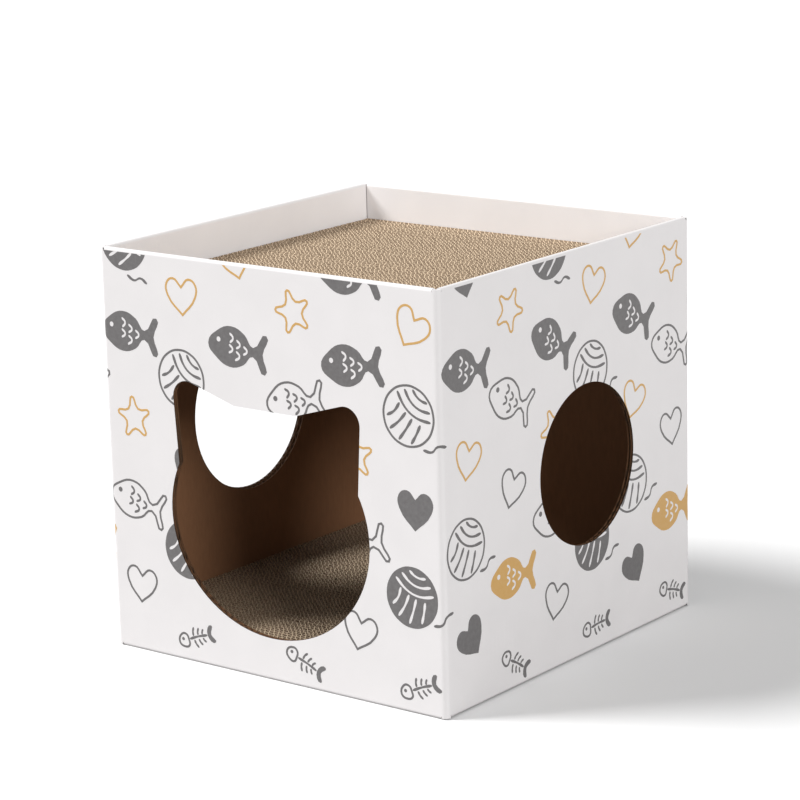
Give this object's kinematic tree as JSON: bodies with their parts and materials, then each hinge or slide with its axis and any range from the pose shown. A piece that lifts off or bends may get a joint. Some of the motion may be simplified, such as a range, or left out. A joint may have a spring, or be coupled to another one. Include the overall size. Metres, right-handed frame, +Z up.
{
  "type": "cardboard cat house",
  "caption": "Cube-shaped cardboard cat house with a cat-head doorway, round side windows, a scratching pad sunk into its open top and another pad on the floor inside.",
  "frame": {"origin": "middle of the underside, on the floor", "axes": "+Z up, front with the doorway towards -Y, +X to the right as seen from the front"},
  "size_m": [0.4, 0.408, 0.395],
  "materials": {
    "printed_board": "smooth white liner, printed, matt",
    "brown_board": "plain brown liner, matt",
    "corrugated_pad": "open flute ends of strips on edge, matt"
  },
  "bodies": {
    "carton": {"front_wall": "printed_board", "right_wall": "printed_board", "back_wall": "printed_board", "left_wall": "printed_board", "glue_tab": "printed_board", "front_bottom_flap": "printed_board", "right_bottom_flap": "printed_board", "back_bottom_flap": "printed_board", "left_bottom_flap": "printed_board", "front_rim_flap": "printed_board", "right_rim_flap": "printed_board", "back_rim_flap": "printed_board", "left_rim_flap": "printed_board", "front_liner": "brown_board", "right_liner": "brown_board", "back_liner": "brown_board", "left_liner": "brown_board", "shelf_board": "brown_board"},
    "top_pad": {"top_pad": "corrugated_pad"},
    "bottom_pad": {"bottom_pad": "corrugated_pad"}
  },
  "joints": [
    {"name": "top_pad_lift", "type": "slide", "parent": "carton", "child": "top_pad", "axis": [0, 0, 1], "range_m": [0, 0.09]},
    {"name": "bottom_pad_lift", "type": "slide", "parent": "carton", "child": "bottom_pad", "axis": [0, 0, 1], "range_m": [0, 0.29]}
  ]
}
